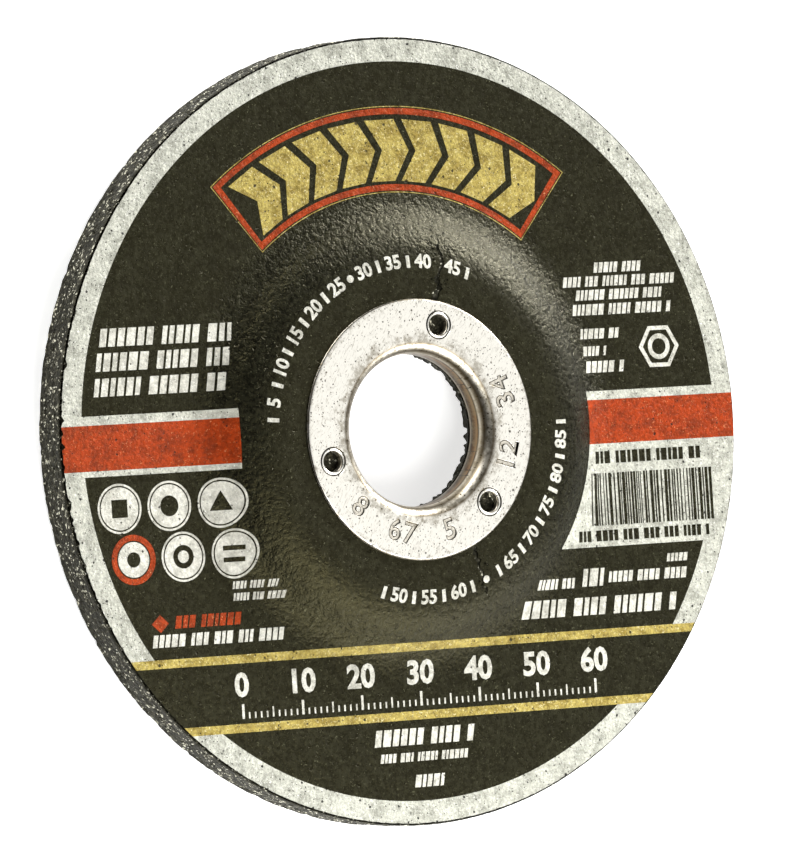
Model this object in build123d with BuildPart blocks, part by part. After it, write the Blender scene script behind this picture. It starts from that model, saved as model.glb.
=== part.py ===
from build123d import *
import os

# Sizes of the wheel, in millimetres
wheel_d = 115.0
rim_t = 6.4
bore_d = 22.23
centre_depth = 4.55

# The dish: flat hub, slope and flat rim, on the label side and on the working side
hub_back_r = 22.3
slope_back_w = 13.5
shoulder_back_w = 8.0
hub_face_r = 22.5
slope_face_w = 9.0
back_edge = 0.45

# Thickness of the sheets on the abrasive
label_t = 0.2
ink_t = 0.05
steel_t = 0.45

# Centre ring: flange, rolled lip and collar, pressed from one sheet
flange_d = 38.0
lip_r = 2.285
collar_h = 2.35
collar_end_gap = 0.1
collar_seat_gap = 0.05
bore_relief = 0.25

# Pierced holes of the ring, whose bent edge bites into the hub
pierce_count = 3
pierce_r = 1.45
pierce_wall = 0.3
pierce_depth = 1.1
pierce_place_r = 15.56
pierce_turn = 74.5
pierce_gap = 0.15

# Printed label: light border, two bars and their strips, a panel and two lines
label_lap = 1.4
border_w = 3.25
left_bar_w = 6.55
left_bar_y = 0.0
left_bar_end_x = 29.0
left_strip_w = 1.1
right_bar_w = 6.5
right_bar_y = -0.34
right_bar_end_r = 31.1
right_strip_w = 1.25
panel_low_y = -18.7
line_w = 1.25
line_high_up = 25.65
line_low_up = 15.7

# Straight runs that stand for the arcs of the sections, which keep the facets few
dish_run_count = 2
lip_run_count = 4

# Levels and radii that follow
wheel_r = wheel_d / 2
bore_r = bore_d / 2
flange_r = flange_d / 2
rim_back_z = rim_t - label_t - ink_t
ring_top_z = rim_t + centre_depth
ring_seat_z = ring_top_z - steel_t
hub_back_z = ring_seat_z - label_t
hub_face_z = centre_depth
lip_in_r = lip_r - steel_t
lip_centre_r = bore_r + lip_r
lip_centre_z = ring_top_z - lip_r
collar_out_r = bore_r + steel_t
collar_end_z = lip_centre_z - collar_h
collar_floor_z = collar_end_z - collar_end_gap
seat_r = collar_out_r + collar_seat_gap
core_r = bore_r + bore_relief
label_r = wheel_r - back_edge
label_hole_r = flange_r - label_lap
field_r = label_r - border_w
line_high_y = line_high_up - label_r
line_low_y = line_low_up - label_r
pit_r = pierce_r + pierce_wall + pierce_gap
pit_depth = pierce_depth - steel_t - label_t + pierce_gap


def straight_runs(curve, runs):
    """A curve drawn as straight runs between points on it."""
    Polyline(*(curve @ (run / runs) for run in range(runs + 1)))


def back_line(in_r, out_r, height):
    """The dish's label side, raised by a height: flat hub, two arcs that meet tangent, flat rim."""
    hub_z = hub_back_z + height
    rim_z = rim_back_z + height
    hub_end = (hub_back_r, hub_z)
    rim_start = (hub_back_r + slope_back_w, rim_z)
    fallen = shoulder_back_w / slope_back_w
    middle = (hub_back_r + shoulder_back_w, hub_z + (rim_z - hub_z) * fallen)
    Line((in_r, hub_z), hub_end)
    straight_runs(TangentArc(hub_end, middle, tangent=(1, 0), mode=Mode.PRIVATE), dish_run_count)
    straight_runs(TangentArc(rim_start, middle, tangent=(-1, 0), mode=Mode.PRIVATE), dish_run_count)
    Line(rim_start, (out_r, rim_z))


def back_sheet(in_r, out_r, low, high):
    """A sheet between two heights above the abrasive that follows the label side."""
    with BuildSketch(Plane.XZ) as section:
        with BuildLine():
            back_line(in_r, out_r, low)
            back_line(in_r, out_r, high)
            Line((in_r, hub_back_z + low), (in_r, hub_back_z + high))
            Line((out_r, rim_back_z + low), (out_r, rim_back_z + high))
        make_face()
    revolve(section.sketch, axis=Axis.Z)


# Abrasive body: one moulded dish, with a step in its bore that the ring's collar stands over
with BuildPart() as abrasive_body:
    with BuildSketch(Plane.XZ) as body_section:
        with BuildLine():
            back_line(seat_r + lip_in_r, wheel_r, 0)
            Polyline(
                (wheel_r, rim_back_z),
                (wheel_r, 0),
                (hub_face_r + slope_face_w, 0),
                (hub_face_r, hub_face_z),
                (core_r, hub_face_z),
                (core_r, collar_floor_z),
                (seat_r, collar_floor_z),
                (seat_r, hub_back_z - lip_in_r),
                (seat_r + lip_in_r, hub_back_z),
            )
        make_face()
        chamfer(body_section.vertices().group_by(Axis.X)[-1].sort_by(Axis.Y)[-1], back_edge)
    revolve(axis=Axis.Z)
    # A pit under each pierced hole of the ring
    with Locations(Plane.XY.offset(hub_back_z)):
        with PolarLocations(pierce_place_r, pierce_count, start_angle=pierce_turn):
            Hole(radius=pit_r, depth=pit_depth)
abrasive_body.part.label = "abrasive_body"

# Paper label, black all over, with the edge of its hole trapped under the ring
with BuildPart() as paper_label:
    back_sheet(label_hole_r, label_r, 0, label_t)
paper_label.part.label = "paper_label"

# Orange print: a bar on each side of the hub
with BuildPart() as orange_print:
    back_sheet(label_hole_r, label_r, label_t, label_t + ink_t)
    with BuildSketch(Plane.XY) as bars:
        with Locations((-left_bar_end_x, left_bar_y)):
            Rectangle(wheel_r, left_bar_w, align=(Align.MAX, Align.CENTER))
        with Locations((0, right_bar_y)):
            Rectangle(wheel_r, right_bar_w, align=(Align.MIN, Align.CENTER))
        with BuildSketch(mode=Mode.SUBTRACT):
            Circle(right_bar_end_r)
            Rectangle(wheel_r, wheel_d, align=(Align.MAX, Align.CENTER), mode=Mode.SUBTRACT)
    extrude(amount=ring_top_z, mode=Mode.INTERSECT)
orange_print.part.label = "orange_print"

# Gold print: two lines right across the label, in its lower part
with BuildPart() as gold_print:
    back_sheet(label_hole_r, label_r, label_t, label_t + ink_t)
    with BuildSketch(Plane.XY):
        with Locations((0, line_high_y), (0, line_low_y)):
            Rectangle(wheel_d, line_w)
    extrude(amount=ring_top_z, mode=Mode.INTERSECT)
gold_print.part.label = "gold_print"

# Light print: the border, the strips along the bars, and the panel under the right bar
with BuildPart() as light_print:
    back_sheet(label_hole_r, label_r, label_t, label_t + ink_t)
    with BuildSketch(Plane.XY):
        Circle(label_r)
        Circle(field_r, mode=Mode.SUBTRACT)
        with Locations((-left_bar_end_x, left_bar_y)):
            Rectangle(wheel_r, left_bar_w + 2 * left_strip_w, align=(Align.MAX, Align.CENTER))
        with BuildSketch():
            panel_high_y = right_bar_y + right_bar_w / 2 + right_strip_w
            with Locations((0, panel_high_y)):
                Rectangle(wheel_r, panel_high_y - panel_low_y, align=(Align.MIN, Align.MAX))
            Circle(right_bar_end_r, mode=Mode.SUBTRACT)
        add(bars.sketch, mode=Mode.SUBTRACT)
        with Locations((0, (line_high_y + line_low_y) / 2)):
            Rectangle(wheel_d, line_high_y - line_low_y + line_w, mode=Mode.SUBTRACT)
    extrude(amount=ring_top_z, mode=Mode.INTERSECT)
light_print.part.label = "light_print"

# Centre ring: flange, rolled lip and collar, with the edge of each pierced hole bent down
with BuildPart() as centre_ring:
    with BuildSketch(Plane.XZ):
        with BuildLine():
            lip_top = TangentArc(
                (bore_r, lip_centre_z), (lip_centre_r, ring_top_z), tangent=(0, 1), mode=Mode.PRIVATE
            )
            straight_runs(lip_top, lip_run_count)
            Polyline(
                (lip_centre_r, ring_top_z),
                (flange_r, ring_top_z),
                (flange_r, ring_seat_z),
                (lip_centre_r, ring_seat_z),
                (collar_out_r, lip_centre_z),
                (collar_out_r, collar_end_z),
                (bore_r, collar_end_z),
                (bore_r, lip_centre_z),
            )
        make_face()
    revolve(axis=Axis.Z)
    with BuildSketch(Plane.XY.offset(ring_seat_z)):
        with PolarLocations(pierce_place_r, pierce_count, start_angle=pierce_turn):
            Circle(pierce_r + pierce_wall)
    extrude(amount=steel_t - pierce_depth)
    with Locations(Plane.XY.offset(ring_top_z)):
        with PolarLocations(pierce_place_r, pierce_count, start_angle=pierce_turn):
            Hole(radius=pierce_r, depth=pierce_depth)
centre_ring.part.label = "centre_ring"

os.makedirs("parts", exist_ok=True)
for piece in (abrasive_body, paper_label, orange_print, gold_print, light_print, centre_ring):
    export_step(piece.part, f"parts/{piece.part.label}.step")
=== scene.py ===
"""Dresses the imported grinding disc: a gritty body, a printed label, a pressed ring and a glass-fibre net.

All sizes are in millimetres until a mesh is made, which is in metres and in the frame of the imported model.
"""

import logging
import math
import random
from collections.abc import Callable, Sequence
from dataclasses import dataclass
from enum import Enum

import bpy
import numpy as np
from bpy.types import ID, Material, Mesh, Node, NodeSocket, NodeTree, Object
from mathutils import Matrix, Vector, noise
from mathutils.geometry import delaunay_2d_cdt

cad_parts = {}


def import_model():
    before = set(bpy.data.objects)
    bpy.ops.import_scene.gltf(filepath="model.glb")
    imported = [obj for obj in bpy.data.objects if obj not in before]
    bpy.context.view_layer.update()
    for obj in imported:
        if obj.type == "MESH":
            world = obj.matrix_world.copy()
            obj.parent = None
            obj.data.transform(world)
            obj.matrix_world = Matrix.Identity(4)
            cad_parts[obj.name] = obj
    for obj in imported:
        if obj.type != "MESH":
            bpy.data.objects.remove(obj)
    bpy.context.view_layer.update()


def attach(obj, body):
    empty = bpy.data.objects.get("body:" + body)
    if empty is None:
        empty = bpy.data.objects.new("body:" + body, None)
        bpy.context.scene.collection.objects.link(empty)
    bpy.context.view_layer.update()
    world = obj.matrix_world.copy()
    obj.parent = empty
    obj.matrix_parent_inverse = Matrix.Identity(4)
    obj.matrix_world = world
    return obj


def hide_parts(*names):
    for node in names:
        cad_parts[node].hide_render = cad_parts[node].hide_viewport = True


log = logging.getLogger("grinding_disc")

MM = 0.001
TURN = 2 * math.pi
BODY = "root"

Point = tuple[float, float]
Loop = list[Point]


class Slot(Enum):
    """The record's material slots."""

    ABRASIVE = "abrasive"
    BLACK = "label_black"
    LIGHT = "print_light"
    ORANGE = "print_orange"
    GOLD = "print_gold"
    STEEL = "ring_steel"


def linear(hex_colour: str) -> tuple[float, float, float, float]:
    """Turns an sRGB hex value to linear colour.

    Args:
        hex_colour: Six hex digits after a hash.

    Returns:
        Red, green, blue and an alpha of one.
    """
    parts = [int(hex_colour[i : i + 2], 16) / 255 for i in (1, 3, 5)]
    turned = [p / 12.92 if p <= 0.04045 else ((p + 0.055) / 1.055) ** 2.4 for p in parts]
    return (turned[0], turned[1], turned[2], 1.0)


def scale_for(size: float) -> float:
    """The texture scale whose cells are this many millimetres wide."""
    return 1 / (size * MM)


def feed(node: Node, feeds: dict | Sequence) -> None:
    """Gives inputs of a node their values and links.

    Args:
        node: The node.
        feeds: What goes into each input, by name or number, or in order from the first input. Each is a value,
            another node's output, or another node for its first output.
    """
    for key, value in feeds.items() if isinstance(feeds, dict) else enumerate(feeds):
        if isinstance(value, Node):
            value = value.outputs[0]
        if isinstance(value, NodeSocket):
            node.id_data.links.new(value, node.inputs[key])
        else:
            node.inputs[key].default_value = value


def add(tree: NodeTree, kind: str, feeds: dict | Sequence = (), **settings: object) -> Node:
    """Adds a node with its settings and links.

    Args:
        tree: The node tree.
        kind: The node's type name.
        feeds: What goes into its inputs.
        **settings: The node's own properties. "stops" holds a colour ramp's places and colours.

    Returns:
        The new node.
    """
    node = tree.nodes.new(kind)
    stops = settings.pop("stops", ())
    for key, value in settings.items():
        setattr(node, key, value)
    if stops:
        elements = node.color_ramp.elements
        while len(elements) < len(stops):
            elements.new(0.5)
        for element, (place, colour) in zip(elements, stops):
            element.position, element.color = place, linear(colour)
    feed(node, feeds)
    return node


def from_axis(tree: NodeTree, place: NodeSocket) -> NodeSocket:
    """How far a place is from the disc's axis."""
    level = add(tree, "ShaderNodeVectorMath", (place, (1.0, 1.0, 0.0)), operation="MULTIPLY")
    return add(tree, "ShaderNodeVectorMath", (level,), operation="LENGTH").outputs["Value"]


def covered(
    tree: NodeTree, under: object, over: object, value: object, low: float, high: float, most: float = 1.0
) -> tuple[NodeSocket, Node]:
    """Lays one colour over another where a value is high.

    Args:
        tree: The node tree.
        under: The colour where the value is low.
        over: The colour where it is high.
        value: What decides.
        low: Value from which the second colour shows.
        high: Value from which it shows most.
        most: Its share there.

    Returns:
        The new colour, and the second colour's share.
    """
    share = add(tree, "ShaderNodeMapRange", (value, low, high, 0.0, most))
    mixed = add(tree, "ShaderNodeMix", {0: share, 6: under, 7: over}, data_type="RGBA")
    return mixed.outputs[2], share


def pitted(
    tree: NodeTree, place: object, colour: object, pit_colour: str, cell: float, radius: float, share: float
) -> tuple[NodeSocket, Node]:
    """Adds round pits to a colour, each of its own size, over a surface that lies more or less level.

    Args:
        tree: The node tree.
        place: Where the pattern is read.
        colour: The colour between the pits.
        pit_colour: The pits' colour, as a hex value.
        cell: Width in millimetres of the cells that hold one pit at most.
        radius: The largest pit's radius in millimetres.
        share: Share of the cells that have a pit.

    Returns:
        The new colour, and how deep in a pit each place is, from zero to one.
    """
    cells = add(tree, "ShaderNodeTexVoronoi", {"Vector": place, "Scale": scale_for(cell)}, voronoi_dimensions="2D")
    chance = add(tree, "ShaderNodeSeparateColor", (cells.outputs["Color"],))
    reach = add(tree, "ShaderNodeMapRange", (chance, 1 - share, 1.0, -0.03, radius / cell))
    inside = add(tree, "ShaderNodeMath", (reach, cells), operation="SUBTRACT")
    return covered(tree, colour, linear(pit_colour), inside, -0.01, 0.035, 0.95)


@dataclass(frozen=True)
class Finish:
    """A real material's look: one shader, fed by patterns that are read from the object's own coordinates."""

    name: str

    def feeds(self, tree: NodeTree, place: NodeSocket) -> dict:
        """What goes into the shader's inputs."""
        raise NotImplementedError

    def build(self) -> Material:
        """Makes the material."""
        material = bpy.data.materials.new(self.name)
        material.use_nodes = True
        tree = material.node_tree
        tree.nodes.clear()
        shader = add(tree, "ShaderNodeBsdfPrincipled")
        add(tree, "ShaderNodeOutputMaterial", {"Surface": shader})
        feed(shader, self.feeds(tree, add(tree, "ShaderNodeTexCoord").outputs["Object"]))
        return material


@dataclass(frozen=True)
class InkOnPaper(Finish):
    """Matt ink printed on a fibrous blotter paper that is baked on to the grit.

    The grit shows through as clouds, dark pits and flecks of bare fibre, and lifts the paper in small lumps.
    """

    ink: str
    cloud: str
    pit: str
    fleck: str
    roughness: float = 0.5
    gloss: float = 0.3
    tint: str = "#ffffff"
    contrast: float = 0.3
    pit_r: float = 0.26
    pit_share: float = 0.4
    fleck_level: float = 0.62
    cloud_w: float = 1.9
    grain_w: float = 0.45
    relief: float = 0.13
    crease: float = 0.0
    crease_r: Point = (25.0, 30.0)
    rim_r: Point = (34.0, 37.5)

    def feeds(self, tree: NodeTree, place: NodeSocket) -> dict:
        """What goes into the shader's inputs."""
        clouds, grain, lumps = (
            add(tree, "ShaderNodeTexNoise", {"Vector": place, "Scale": scale_for(w), "Detail": d, "Roughness": r})
            for w, d, r in ((self.cloud_w, 4.0, 0.65), (self.grain_w, 3.0, 0.65), (1.0, 3.0, 0.55))
        )
        colour, _ = covered(tree, linear(self.ink), linear(self.cloud), clouds, 0.42, 0.64)
        shade = add(tree, "ShaderNodeMapRange", (grain, 0.32, 0.68, 1 - self.contrast, 1 + self.contrast))
        shaded = add(tree, "ShaderNodeVectorMath", {0: colour, "Scale": shade}, operation="SCALE")
        # Flecks of bare fibre, where a fine noise peaks
        fibre = add(
            tree, "ShaderNodeTexNoise", {"Vector": place, "Scale": scale_for(0.32), "Detail": 1.0, "Distortion": 1.5}
        )
        peak = self.fleck_level
        colour, _ = covered(tree, shaded, linear(self.fleck), fibre, peak, peak + 0.1, 0.85)
        # Dark pits of ragged outline, some of them large and many fine
        stray = (fibre.outputs["Color"], 3 * (0.3 * MM,), place)
        warp = add(tree, "ShaderNodeVectorMath", stray, operation="MULTIPLY_ADD")
        height = add(tree, "ShaderNodeMath", (lumps, grain), operation="ADD")
        for cell, size, share in ((1.6, 1.3, 0.6), (0.7, 0.62, 1.0)):
            colour, deep = pitted(tree, warp, colour, self.pit, cell, self.pit_r * size, self.pit_share * share)
            height = add(tree, "ShaderNodeMath", (deep, -0.55, height), operation="MULTIPLY_ADD")
        # The paper is creased where the slope meets the rim
        away = from_axis(tree, place)
        relief = self.relief * MM
        crease = add(tree, "ShaderNodeMapRange", (away, *(r * MM for r in self.crease_r), 0.0, self.crease))
        fade = add(tree, "ShaderNodeMapRange", (away, *(r * MM for r in self.rim_r), relief, 0.0))
        depth = add(tree, "ShaderNodeMath", (crease, fade, relief), operation="MULTIPLY_ADD")
        rough = add(tree, "ShaderNodeMapRange", (grain, 0.3, 0.7, self.roughness - 0.1, self.roughness + 0.12))
        return {
            "Base Color": colour,
            "Roughness": rough,
            "Specular IOR Level": self.gloss,
            "Specular Tint": linear(self.tint),
            "Normal": add(tree, "ShaderNodeBump", {"Strength": 1.0, "Distance": depth, "Height": height}),
        }


@dataclass(frozen=True)
class BondedGrit(Finish):
    """Brown-grey corundum grit in a dark phenolic bond: a stony surface with black pores and pale glints."""

    grit_w: float = 0.55
    dust_w: float = 0.45 * 0.55
    relief: float = 0.16
    # Radius inside which the bore's wall gets painted shade
    dark_r: float = 12.6

    def feeds(self, tree: NodeTree, place: NodeSocket) -> dict:
        """What goes into the shader's inputs."""
        grit, dust = (
            add(tree, "ShaderNodeTexVoronoi", {"Vector": place, "Scale": scale_for(w)})
            for w in (self.grit_w, self.dust_w)
        )
        chances = [add(tree, "ShaderNodeSeparateColor", (cells.outputs["Color"],)) for cells in (grit, dust)]
        mean = add(tree, "ShaderNodeMix", {0: 0.45, 2: chances[0], 3: chances[1]}, data_type="FLOAT")
        stops = ((0.2, "#040403"), (0.42, "#1a1913"), (0.62, "#33312a"), (0.8, "#4c4a3d"), (0.87, "#dedbc6"))
        tones = add(tree, "ShaderNodeValToRGB", (mean,), stops=stops)
        bond = add(
            tree, "ShaderNodeTexNoise", {"Vector": place, "Scale": scale_for(1.1), "Detail": 4.0, "Roughness": 0.75}
        )
        pores = add(tree, "ShaderNodeMapRange", (bond, 0.4, 0.46, 1.0, 0.0))
        # Painted shade: the grit on the bore's wall, inside dark_r, is darkened to stand for the shade in the bore
        wall = (from_axis(tree, place), self.dark_r * MM, (self.dark_r + 0.6) * MM, 0.8, 0.0)
        bore_wall_shade = add(tree, "ShaderNodeMapRange", wall)
        # The black pores and the bore wall's painted shade take one dark colour
        dark = add(tree, "ShaderNodeMath", (pores, bore_wall_shade), operation="MAXIMUM")
        colour = add(tree, "ShaderNodeMix", {0: dark, 6: tones, 7: linear("#0c0c0b")}, data_type="RGBA")
        height = add(tree, "ShaderNodeMath", (bond, grit), operation="SUBTRACT")
        return {
            "Base Color": colour.outputs[2],
            "Roughness": 0.62,
            "Specular IOR Level": 0.25,
            "Specular Tint": linear("#f2ecc4"),
            "Normal": add(tree, "ShaderNodeBump", {"Strength": 1.0, "Distance": self.relief * MM, "Height": height}),
        }


@dataclass(frozen=True)
class CorundumGrain(Finish):
    """Crushed corundum: sharp crystals, each of its own grey, some pale, that glint on their broken faces."""

    def feeds(self, tree: NodeTree, place: NodeSocket) -> dict:
        """What goes into the shader's inputs."""
        shade = add(tree, "ShaderNodeAttribute", attribute_name=GrainScatter.SHADE)
        darker = ((0.0, "#050504"), (0.45, "#15140f"), (0.72, "#2e2d24"))
        paler = ((0.88, "#5a5849"), (0.92, "#d2cfba"), (1.0, "#f2f0e2"))
        dust = add(tree, "ShaderNodeTexNoise", {"Vector": place, "Scale": scale_for(0.25), "Detail": 2.0})
        return {
            "Base Color": add(tree, "ShaderNodeValToRGB", (shade.outputs["Fac"],), stops=(*darker, *paler)),
            "Roughness": add(tree, "ShaderNodeMapRange", (dust, 0.3, 0.7, 0.25, 0.6)),
            "Specular IOR Level": 0.25,
            "Specular Tint": linear("#f2ecc4"),
            "Normal": add(tree, "ShaderNodeBump", {"Strength": 0.6, "Distance": 0.04 * MM, "Height": dust}),
        }


@dataclass(frozen=True)
class TinnedSteel(Finish):
    """Tin-plated steel sheet, pressed: a pale satin mirror with pepper marks and fine scratches.

    Painted shade darkens its stamped figures, grime darkens the shoulder of its lip, and bands of painted reflection,
    highlight and shade, bronze among them, run round the lip and collar.
    """

    low_z: float = 6.3
    top_z: float = 10.95
    # Painted reflection, highlight and shade of the rolled lip and the collar, bronze bands among them, by height
    collar_tones: tuple[tuple[float, str], ...] = (
        (0.0, "#140e0a"), (0.09, "#a99d88"), (0.14, "#2a1e15"), (0.32, "#5c442c"), (0.47, "#8a6a46"),
        (0.54, "#231a13"), (0.62, "#cfc6b4"), (0.78, "#6d6454"), (0.88, "#dcd6c8"), (0.94, "#cfc8b8"),
        (0.965, "#978c79"), (0.99, "#efece2"),
    )
    # Painted shade in the shallow recesses of the stamped figures and round the holes, between the flange's pale
    # tones, by height
    stamp_tones: tuple[tuple[float, str], ...] = (
        (0.9695, "#dcd6c8"), (0.973, "#211b14"), (0.984, "#211b14"), (0.99, "#efece2"),
    )

    def feeds(self, tree: NodeTree, place: NodeSocket) -> dict:
        """What goes into the shader's inputs."""
        haze, smudge = (
            add(tree, "ShaderNodeTexNoise", {"Vector": place, "Scale": scale_for(1.3), "Detail": 6.0, "Roughness": r})
            for r in (0.72, 0.8)
        )
        # Painted reflection, highlight and shade: rings of tone from the collar's end up to the flange, a little wavy,
        # and painted shade in the flange's shallow recesses
        axes = add(tree, "ShaderNodeSeparateXYZ", (place,))
        wave = add(tree, "ShaderNodeMath", (haze, 0.06 * MM, axes.outputs[2]), operation="MULTIPLY_ADD")
        level = add(tree, "ShaderNodeMapRange", (wave, self.low_z * MM, (self.top_z + 0.03) * MM))
        collar, stamped = (
            add(tree, "ShaderNodeValToRGB", (level,), stops=stops) for stops in (self.collar_tones, self.stamp_tones)
        )
        away = from_axis(tree, place)
        # The lip and collar take the painted bands, the flange the painted shade of its recesses
        tones, _ = covered(tree, collar, stamped, away, 13.3 * MM, 13.5 * MM)
        dull = add(tree, "ShaderNodeMapRange", (haze, 0.3, 0.5, 0.88, 1.0))
        colour = add(tree, "ShaderNodeVectorMath", {0: tones, "Scale": dull}, operation="SCALE")
        stray = (haze.outputs["Color"], 3 * (0.5 * MM,), place)
        warp = add(tree, "ShaderNodeVectorMath", stray, operation="MULTIPLY_ADD")
        for cell, radius, share in ((0.45, 0.11, 0.42), (1.0, 0.15, 0.5), (3.1, 0.28, 0.3)):
            colour, _ = pitted(tree, warp, colour, "#332c23", cell, radius, share)
        # Fine scratches that run one way
        turned = {"Vector": place, "Rotation": (0.0, 0.0, -0.55), "Scale": (0.16, 1.0, 1.0)}
        drawn = add(tree, "ShaderNodeMapping", turned, vector_type="TEXTURE")
        scratch = add(
            tree, "ShaderNodeTexNoise", {"Vector": drawn, "Scale": scale_for(1.0), "Detail": 3.0, "Distortion": 0.5}
        )
        # Brown-grey smudges, which keep to the shoulder of the lip and to the outer edge
        grime = smudge
        for start_r, end_r, first, last in ((13.5, 15.0, 0.16, 0.0), (17.6, 19.0, 0.0, 0.12)):
            edge = add(tree, "ShaderNodeMapRange", (away, start_r * MM, end_r * MM, first, last))
            grime = add(tree, "ShaderNodeMath", (grime, edge), operation="ADD")
        for pattern, low, high, most in ((scratch, 0.56, 0.7, 0.5), (grime, 0.58, 0.74, 0.6)):
            colour, _ = covered(tree, colour, linear("#74684f"), pattern, low, high, most)
        return {
            "Base Color": colour,
            "Metallic": 1.0,
            "Roughness": add(tree, "ShaderNodeMapRange", (haze, 0.3, 0.7, 0.44, 0.28)),
            "Normal": add(tree, "ShaderNodeBump", {"Strength": 0.5, "Distance": 0.03 * MM, "Height": haze}),
        }


@dataclass(frozen=True)
class GlassRoving(Finish):
    """Glass-fibre roving soaked in resin: dull straw-coloured strands with fine parallel filaments."""

    def feeds(self, tree: NodeTree, place: NodeSocket) -> dict:
        """What goes into the shader's inputs."""
        soak = add(
            tree, "ShaderNodeTexNoise", {"Vector": place, "Scale": scale_for(1.8), "Detail": 5.0, "Roughness": 0.7}
        )
        fibre = add(
            tree, "ShaderNodeTexNoise", {"Vector": place, "Scale": scale_for(0.25), "Detail": 2.0, "Distortion": 2.0}
        )
        stops = ((0.35, "#3a352b"), (0.5, "#6b6048"), (0.68, "#9c8f70"))
        return {
            "Base Color": add(tree, "ShaderNodeValToRGB", (soak,), stops=stops),
            "Roughness": 0.42,
            "Normal": add(tree, "ShaderNodeBump", {"Strength": 0.7, "Distance": 0.05 * MM, "Height": fibre}),
        }


@dataclass(frozen=True)
class LightTable(Finish):
    """White opal acrylic, lit softly from below, which keeps the shadows on it pale."""

    glow: float = 0.7

    def feeds(self, tree: NodeTree, place: NodeSocket) -> dict:
        """What goes into the shader's inputs."""
        haze = add(tree, "ShaderNodeTexNoise", {"Vector": place, "Scale": scale_for(40.0), "Detail": 2.0})
        return {
            "Base Color": add(tree, "ShaderNodeValToRGB", (haze,), stops=((0.3, "#f4f4f2"), (0.7, "#f7f7f5"))),
            "Roughness": 0.9,
            "Specular IOR Level": 0.1,
            "Emission Color": linear("#ffffff"),
            "Emission Strength": self.glow,
        }


@dataclass(frozen=True)
class Dish:
    """Sizes of the moulded dish, and its height at any radius."""

    wheel_r: float = 57.5
    label_r: float = 57.05
    rim_back_z: float = 6.15
    hub_back_z: float = 10.3
    hub_back_r: float = 22.3
    slope_back_w: float = 13.5
    shoulder_back_w: float = 8.0
    hub_face_z: float = 4.55
    hub_face_r: float = 22.5
    slope_face_w: float = 9.0
    core_r: float = 11.13

    @staticmethod
    def slope(radius: float, start_r: float, width: float, shoulder_w: float, drop: float) -> float:
        """How far a slope of two arcs that meet tangent has fallen at a radius.

        Args:
            radius: Where, from the axis.
            start_r: Radius where the slope begins.
            width: Width of the slope, seen from above.
            shoulder_w: Width of its upper, bulging arc.
            drop: Whole fall of the slope.

        Returns:
            The fall so far.
        """
        along = min(max(radius - start_r, 0.0), width)
        arc_w = shoulder_w
        if along > shoulder_w:
            along, arc_w = width - along, width - shoulder_w
        arc_drop = drop * arc_w / width
        arc_r = (arc_w**2 + arc_drop**2) / (2 * arc_drop)
        fallen = arc_r - math.sqrt(arc_r**2 - along**2)
        return fallen if radius - start_r <= shoulder_w else drop - fallen

    def back(self, radius: float) -> float:
        """Height of the abrasive's label side at a radius."""
        drop = self.hub_back_z - self.rim_back_z
        return self.hub_back_z - self.slope(
            radius, self.hub_back_r, self.slope_back_w, self.shoulder_back_w, drop
        )

    def face(self, radius: float) -> float:
        """Height of the abrasive's working side at a radius."""
        half_w = self.slope_face_w / 2
        return self.hub_face_z - self.slope(radius, self.hub_face_r, self.slope_face_w, half_w, self.hub_face_z)


def make_piece(
    name: str, points: np.ndarray, faces: Sequence[Sequence[int]], material: Material, smooth: float = 0.6
) -> Object:
    """Makes a mesh object from points in millimetres.

    Args:
        name: The object's name.
        points: Three numbers a point.
        faces: The points of each face.
        material: Its one material.
        smooth: Angle, in radians, above which an edge is sharp. Zero leaves every face flat.

    Returns:
        The object, in the scene.
    """
    mesh = bpy.data.meshes.new(name)
    mesh.from_pydata((np.asarray(points, float) * MM).tolist(), [], faces)
    mesh.materials.append(material)
    mesh.validate()
    mesh.update()
    if smooth:
        mesh.shade_smooth()
        mesh.set_sharp_from_angle(angle=smooth)
    return in_scene(name, mesh)


def in_scene(name: str, data: ID) -> Object:
    """Puts a mesh, a curve, a light or a camera in the scene as an object."""
    thing = bpy.data.objects.new(name, data)
    bpy.context.scene.collection.objects.link(thing)
    return thing


def evaluated_mesh(thing: Object) -> Mesh:
    """What an object's curve or modifiers make, as a plain mesh."""
    return bpy.data.meshes.new_from_object(thing.evaluated_get(bpy.context.evaluated_depsgraph_get()))


def plain_mesh(piece: Object) -> None:
    """Turns what a piece's modifiers make into its own plain mesh, and removes them."""
    mesh = evaluated_mesh(piece)
    mesh.name = piece.name
    piece.modifiers.clear()
    piece.data = mesh


def dress(piece: Object, slot: Slot, *nodes: str) -> None:
    """Lets a finished piece ride on the disc and stand for its solids.

    Args:
        piece: The piece.
        slot: The record's slot for its finish. Not used.
        *nodes: The solids that it replaces.
    """
    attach(piece, BODY)
    if nodes:
        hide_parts(*nodes)
    log.info("%s: %d triangles", piece.name, sum(len(p.vertices) - 2 for p in piece.data.polygons))


def turned_points(outline: Sequence[Point], segments: int, middle: Point = (0.0, 0.0)) -> np.ndarray:
    """Points of an outline, a radius and a height each, turned right round an upright axis through a middle."""
    turns = [(math.cos(TURN * s / segments), math.sin(TURN * s / segments)) for s in range(segments)]
    return np.array([(middle[0] + r * cos, middle[1] + r * sin, z) for r, z in outline for cos, sin in turns])


def turned_faces(rows: int, segments: int) -> list[tuple[int, ...]]:
    """Faces of a closed outline turned right round.

    Args:
        rows: Points of the outline.
        segments: Steps of the turn.

    Returns:
        Four corners a face, outward for an outline drawn anticlockwise with the axis on its left.
    """
    faces = []
    for row in range(rows):
        here, after = row * segments, (row + 1) % rows * segments
        for step in range(segments):
            onward = (step + 1) % segments
            faces.append((here + step, here + onward, after + onward, after + step))
    return faces


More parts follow.
